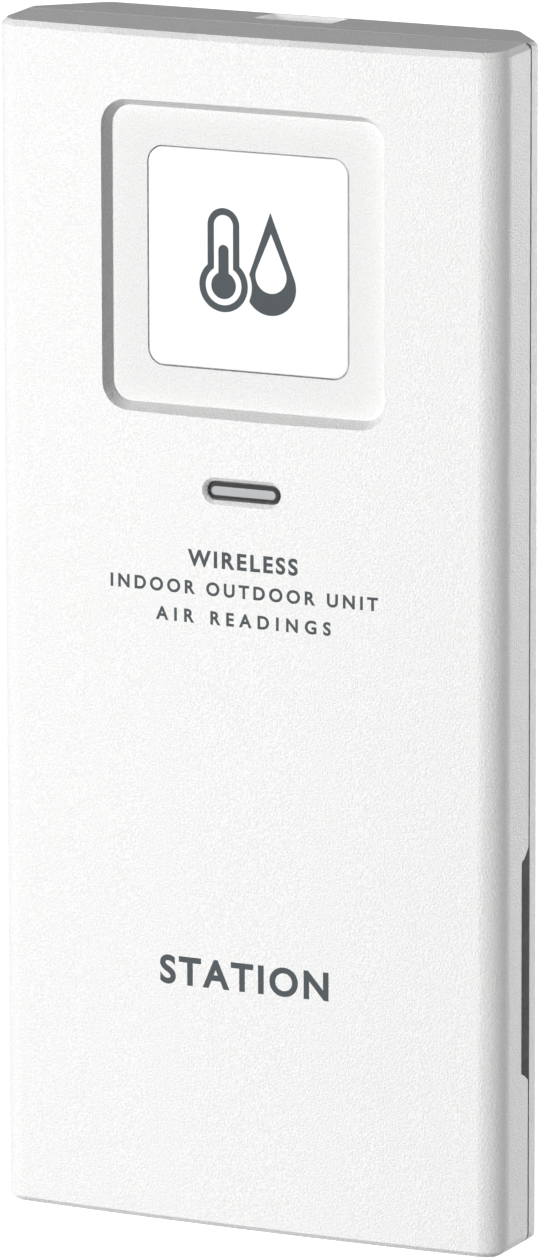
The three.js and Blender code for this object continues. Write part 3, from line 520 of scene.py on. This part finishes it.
def solder_mask(name, colour):
    """Circuit board: copper traces under green mask, with tinned pads."""
    graph = Graph(name, BOARD_ROUGHNESS)
    traces = graph.spread(graph.cells(TRACE_PITCH, "DISTANCE_TO_EDGE"), TRACE_SPAN, 1, 0)
    pads = graph.spread(graph.cells(PAD_PITCH), PAD_SPAN, 1, 0)
    weave = graph.noise(WEAVE_SIZE)
    bare, traced = (shade(colour, factor) for factor in MASK_SHADES)
    mask = graph.blend(traces, bare, traced)
    woven = graph.spread(weave, WIDE_SPAN, 0, WEAVE_SHARE)
    mask = graph.blend(woven, mask, shade(colour, WEAVE_SHADE))
    graph.set("Base Color", graph.blend(pads, mask, PAD_COLOUR))
    graph.set("Metallic", pads)
    graph.set("Roughness", graph.spread(weave, WIDE_SPAN, *BOARD_ROUGHNESS_SPREAD))
    graph.bump(graph.math("ADD", traces, pads), TRACE_DEPTH)
    return graph.material


def moulded_epoxy(name, colour):
    """The gritty black moulding of a chip."""
    graph = Graph(name, EPOXY_ROUGHNESS)
    grit = graph.noise(GRIT_SIZE, detail=RICH_DETAIL)
    dark, pale = (shade(colour, factor) for factor in GRIT_SHADES)
    graph.set("Base Color", graph.blend(graph.spread(grit, NARROW_SPAN), dark, pale))
    graph.set("Roughness", graph.spread(grit, WIDE_SPAN, *EPOXY_ROUGHNESS_SPREAD))
    graph.bump(grit, GRIT_DEPTH)
    return graph.material


def drawn_metal(name, colour, roughness, along):
    """Plated or drawn metal with fine marks drawn out along one axis."""
    graph = Graph(name, roughness, metallic=1.0)
    marks = graph.noise(MARK_SIZE, detail=RICH_DETAIL, place=graph.stretched(along))
    stain = graph.noise(STAIN_SIZE, detail=RICH_DETAIL)
    base = graph.blend(graph.spread(stain, STAIN_SPAN), colour, shade(colour, STAIN_SHADE))
    graph.set("Base Color", base)
    scored = graph.spread(marks, WIDE_SPAN, -MARK_ROUGHENS, MARK_ROUGHENS)
    dulled = graph.spread(stain, WIDE_SPAN, roughness, roughness * STAIN_ROUGHENS)
    graph.set("Roughness", graph.math("ADD", scored, dulled))
    graph.bump(marks, MARK_DEPTH)
    return graph.material


def shrink_film(name, colour):
    """A cell's printed jacket: a coloured body and a paler band at its lower end."""
    graph = Graph(name, JACKET_ROUGHNESS)
    crinkle = graph.noise(CRINKLE_SIZE, detail=RICH_DETAIL, place=graph.stretched(CRINKLE_STRETCH))
    striped = graph.spread(graph.axis("Z"), (BAND_TOP, BAND_TOP + BAND_BLUR))
    graph.set("Base Color", graph.blend(striped, BAND_COLOUR, colour))
    graph.set("Roughness", graph.spread(crinkle, WIDE_SPAN, *JACKET_ROUGHNESS_SPREAD))
    graph.bump(crinkle, CRINKLE_DEPTH)
    return graph.material


def make_materials():
    """Every material by the name of its slot or trim."""
    colours = {row["slot"]: tuple(row["base_color"]) for row in frame["record"]["materials"]}
    white = shade(colours["case"], CASE_SHADE)
    # The recess is painted darker, as shade.
    recess_shaded = shade(colours["case"], RECESS_PAINTED_SHADE)
    window = shade(colours["window"], WINDOW_SHADE)
    pipe = shade(colours["light_pipe"], PIPE_SHADE)
    dark = colours["dark_plastic"]
    part = colours["white_part"]
    return {
        "case": grained_plastic("case_plastic", white, CASE_ROUGHNESS),
        "recess_shaded": grained_plastic("recess_painted_shade", recess_shaded, CASE_ROUGHNESS),
        # The pocket's mouth glows with painted light.
        "pocket_painted_light": grained_plastic("pocket_plastic_painted_light", white, CASE_ROUGHNESS, painted_light=POCKET_PAINTED_LIGHT),
        "window": glossy_plate("window_gloss", window, WINDOW_ROUGHNESS),
        "ink": ink("print_ink", INK_COLOUR),
        "light_pipe": smoked_plastic("smoked_light_pipe", pipe),
        # The pipe's sides are painted near black as shade round its front.
        "pipe_side_shade": smoked_plastic("light_pipe_side_painted_shade", PIPE_SIDE_PAINTED_SHADE),
        "cell_end": drawn_metal("cell_end_nickel", colours["nickel"], *CELL_END_FINISH),
        "board": solder_mask("solder_mask", colours["board"]),
        "chip": moulded_epoxy("chip_epoxy", colours["chip"]),
        "dark_plastic": grained_plastic(
            "dark_plastic", dark, DARK_ROUGHNESS, FINE_GRAIN, DARK_GRAIN_DEPTH
        ),
        "white_part": grained_plastic(
            "white_plastic", part, WHITE_ROUGHNESS, FINE_GRAIN, WHITE_GRAIN_DEPTH
        ),
        "steel": drawn_metal("zinc_steel", colours["steel"], *STEEL_FINISH),
        "nickel": drawn_metal("nickel_plate", colours["nickel"], *NICKEL_FINISH),
        "copper": drawn_metal("enamelled_copper", colours["copper"], *COPPER_FINISH),
        "cell_jacket": shrink_film("cell_film", colours["cell_jacket"]),
    }


# ---------------------------------------------------------------- pieces that refine CAD nodes

def new_object(name, mesh):
    """An object in the scene that shows a mesh."""
    piece = bpy.data.objects.new(name, mesh)
    bpy.context.scene.collection.objects.link(piece)
    return piece


def joined_faces(source, in_trim):
    """A copy of a CAD mesh, welded and with its flat triangles joined, its trim faces marked."""
    mesh = bpy.data.meshes.new(source.name + "_refined")
    form = bmesh.new()
    form.from_mesh(source.data)
    bmesh.ops.remove_doubles(form, verts=form.verts, dist=SAME_POINT)
    bmesh.ops.dissolve_limit(form, angle_limit=FLAT_ANGLE, verts=form.verts, edges=form.edges)
    for face in form.faces:
        face.smooth = True
        face.material_index = 1 if in_trim(face) else 0
    form.to_mesh(mesh)
    form.free()
    return mesh


def round_edges(piece, width):
    """Rounds the sharp edges and keeps the flat faces flat in shading."""
    bevel = piece.modifiers.new("rounded_edges", "BEVEL")
    bevel.width = width
    bevel.segments = EDGE_STEPS
    bevel.limit_method = "ANGLE"
    bevel.angle_limit = SHARP_ANGLE
    bevel.harden_normals = True
    bevel.material = 0
    weighted = piece.modifiers.new("even_shading", "WEIGHTED_NORMAL")
    weighted.keep_sharp = True


def no_trim(face):
    """For a node in one material only."""
    return False


def pipe_shade_trim(face):
    """All of the light pipe but its front, painted near black as shade."""
    return face.normal.y > -FACING


def recess_shade_trim(face):
    """The floor and the leaning walls of the square recess, which take a darker colour as painted shade.
    """
    centre = face.calc_center_median()
    inside = RECESS_LEFT < centre.x < RECESS_RIGHT and centre.z > RECESS_FOOT
    sunk = FACE_Y + RECESS_SKIN < centre.y < WINDOW_FRONT + SAME_PLANE
    return inside and sunk and face.normal.y < -LEANING


def pocket_painted_light_trim(face):
    """The flared mouth of the wall-hanging pocket, which glows with painted light."""
    centre = face.calc_center_median()
    return abs(centre.x) < MOUTH_HALF and centre.z > MOUTH_FOOT and LEANING < face.normal.z < FACING


def cell_trim(face):
    """A cell's two flat ends and its nub, which the jacket leaves bare."""
    axis = math.copysign(CELL_X, face.calc_center_median().x)
    reach = max(math.hypot(vert.co.x - axis, vert.co.y - CELL_Y) for vert in face.verts)
    return reach < CELL_RADIUS * BARE_END or abs(face.normal.z) > FACING


# For a node in two materials: its trim's faces, and the trim's material
TRIMS = {
    "front_case": (recess_shade_trim, "recess_shaded"),
    "rear_case": (pocket_painted_light_trim, "pocket_painted_light"),
    "light_pipe": (pipe_shade_trim, "pipe_side_shade"),
    "cell_left": (cell_trim, "cell_end"),
    "cell_right": (cell_trim, "cell_end"),
}


def refine(node, materials):
    """Stands a softened copy in for a CAD node, in the materials of its slot and its trim."""
    source = frame["nodes"][node]
    slot = NODE_SLOTS[node]
    in_trim, trim = TRIMS.get(node, (no_trim, slot))
    piece = new_object(node + "_piece", joined_faces(source, in_trim))
    piece.data.materials.append(materials[slot])
    piece.data.materials.append(materials[trim])
    if node in WIRE_NODES:
        smooth = piece.modifiers.new("round_wire", "SUBSURF")
        smooth.levels = WIRE_SMOOTHING
        smooth.render_levels = WIRE_SMOOTHING
    else:
        round_edges(piece, CASE_EDGE if node in CASE_NODES else SMALL_EDGE)
    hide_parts(node)
    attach(piece, source["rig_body"])


# ---------------------------------------------------------------- printed marks

def face_front(x):
    """The Y of the crowned face at this distance from its middle."""
    fallen_back = CROWN_RADIUS - math.sqrt(CROWN_RADIUS ** 2 - x ** 2)
    return FACE_Y + fallen_back


def plate_front(x):
    """The Y of the window plate, which is flat."""
    return WINDOW_FRONT


def solid_from(curve_data, name):
    """The filled and thickened mesh of a flat curve or text, with its points welded."""
    holder = bpy.data.objects.new(name + "_outline", curve_data)
    bpy.context.scene.collection.objects.link(holder)
    bpy.context.view_layer.update()
    evaluated = holder.evaluated_get(bpy.context.evaluated_depsgraph_get())
    mesh = bpy.data.meshes.new_from_object(evaluated)
    bpy.data.objects.remove(holder)
    bpy.data.curves.remove(curve_data)
    mesh.name = name
    form = bmesh.new()
    form.from_mesh(mesh)
    bmesh.ops.remove_doubles(form, verts=form.verts, dist=SAME_POINT)
    form.to_mesh(mesh)
    form.free()
    return mesh


def print_mark(mesh, name, surface, materials):
    """Lays a flat solid, drawn in its own X and Y, on the surface y(x) as a film of ink."""
    for vert in mesh.vertices:
        across, up, thick = vert.co
        rise = -INK_PROUD if thick > 0 else INK_SUNK
        vert.co = (across, surface(across) + rise, up)
    form = bmesh.new()
    form.from_mesh(mesh)
    bmesh.ops.recalc_face_normals(form, faces=form.faces)
    form.to_mesh(mesh)
    form.free()
    mesh.materials.clear()
    mesh.materials.append(materials["ink"])
    piece = new_object(name, mesh)
    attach(piece, "case")


def lettering(name, words, spacing):
    """The flat mesh of some words, and its lowest and highest corners."""
    text = bpy.data.curves.new(name, "FONT")
    text.body = words
    text.align_x = "CENTER"
    text.space_character = spacing
    text.offset = LETTER_WEIGHT
    text.extrude = INK_PROUD
    mesh = solid_from(text, name)
    low = [min(vert.co[axis] for vert in mesh.vertices) for axis in range(3)]
    high = [max(vert.co[axis] for vert in mesh.vertices) for axis in range(3)]
    return mesh, Vector(low), Vector(high)


def print_lettering(materials):
    """Prints each line at its height, its letters spaced out until they fill its width."""
    for name, (words, middle, width, height) in LETTERING.items():
        lengths = []
        for spacing in (1, 2):
            trial, low, high = lettering(name, words, spacing)
            lengths.append((high.x - low.x) * height / (high.y - low.y))
            bpy.data.meshes.remove(trial)
        spacing = 1 + (width - lengths[0]) / (lengths[1] - lengths[0])
        mesh, low, high = lettering(name, words, spacing)
        centre = (low + high) / 2
        scale = height / (high.y - low.y)
        for vert in mesh.vertices:
            vert.co.x = (vert.co.x - centre.x) * scale
            vert.co.y = middle + (vert.co.y - centre.y) * scale
        print_mark(mesh, name, face_front, materials)


def arc(centre_x, centre_z, radius, start, end):
    """Points round a circle between two angles in degrees."""
    turns = [math.radians(start + (end - start) * step / ARC_STEPS) for step in range(ARC_STEPS + 1)]
    return [(centre_x + radius * math.cos(turn), centre_z + radius * math.sin(turn)) for turn in turns]


def thermometer(half, top, bulb):
    """The outline of a round-topped tube that stands in a round bulb."""
    neck = math.degrees(math.asin(half / bulb))
    cap = arc(TUBE_X, top - half, half, 0, 180)
    return cap + arc(TUBE_X, BULB_Z, bulb, 90 + neck, 450 - neck)


def drop(x, z, radius, top):
    """The outline of a drop: a circle and the two tangents that meet above it."""
    lean = math.degrees(math.asin(radius / (top - z)))
    return arc(x, z, radius, 180 - lean, 360 + lean) + [(x, top)]


def clear_of_bulb(points):
    """Moves points out from the thermometer's bulb until the gap is kept."""
    reach = BULB_RADIUS + DROP_GAP
    kept = []
    for x, z in points:
        away = Vector((x - TUBE_X, z - BULB_Z))
        if away.length < reach:
            away *= reach / away.length
        kept.append((TUBE_X + away.x, BULB_Z + away.y))
    return kept


def print_icon(materials):
    """Prints a thermometer beside a drop."""
    marks = {
        "icon_tube": [
            thermometer(TUBE_HALF, TUBE_TOP, BULB_RADIUS),
            thermometer(TUBE_HALF - STROKE, TUBE_TOP - STROKE, BULB_RADIUS - STROKE),
        ],
        "icon_stem": [thermometer(STEM_HALF, STEM_TOP, STEM_BULB)],
        "icon_drop": [clear_of_bulb(drop(DROP_X, DROP_Z, DROP_RADIUS, DROP_TOP)), drop(*DROP_HOLE)],
    }
    for name, outlines in marks.items():
        shape = bpy.data.curves.new(name, "CURVE")
        shape.dimensions = "2D"
        shape.fill_mode = "BOTH"
        shape.extrude = INK_PROUD
        for outline in outlines:
            spline = shape.splines.new("POLY")
            spline.points.add(len(outline) - 1)
            for point, (x, z) in zip(spline.points, outline):
                point.co = (x, z, 0, 1)
            spline.use_cyclic_u = True
        print_mark(solid_from(shape, name), name, plate_front, materials)


# ---------------------------------------------------------------- run

make_camera()
make_studio()
make_floor()
MATERIALS = make_materials()
for part in frame["nodes"]:
    refine(part, MATERIALS)
print_lettering(MATERIALS)
print_icon(MATERIALS)
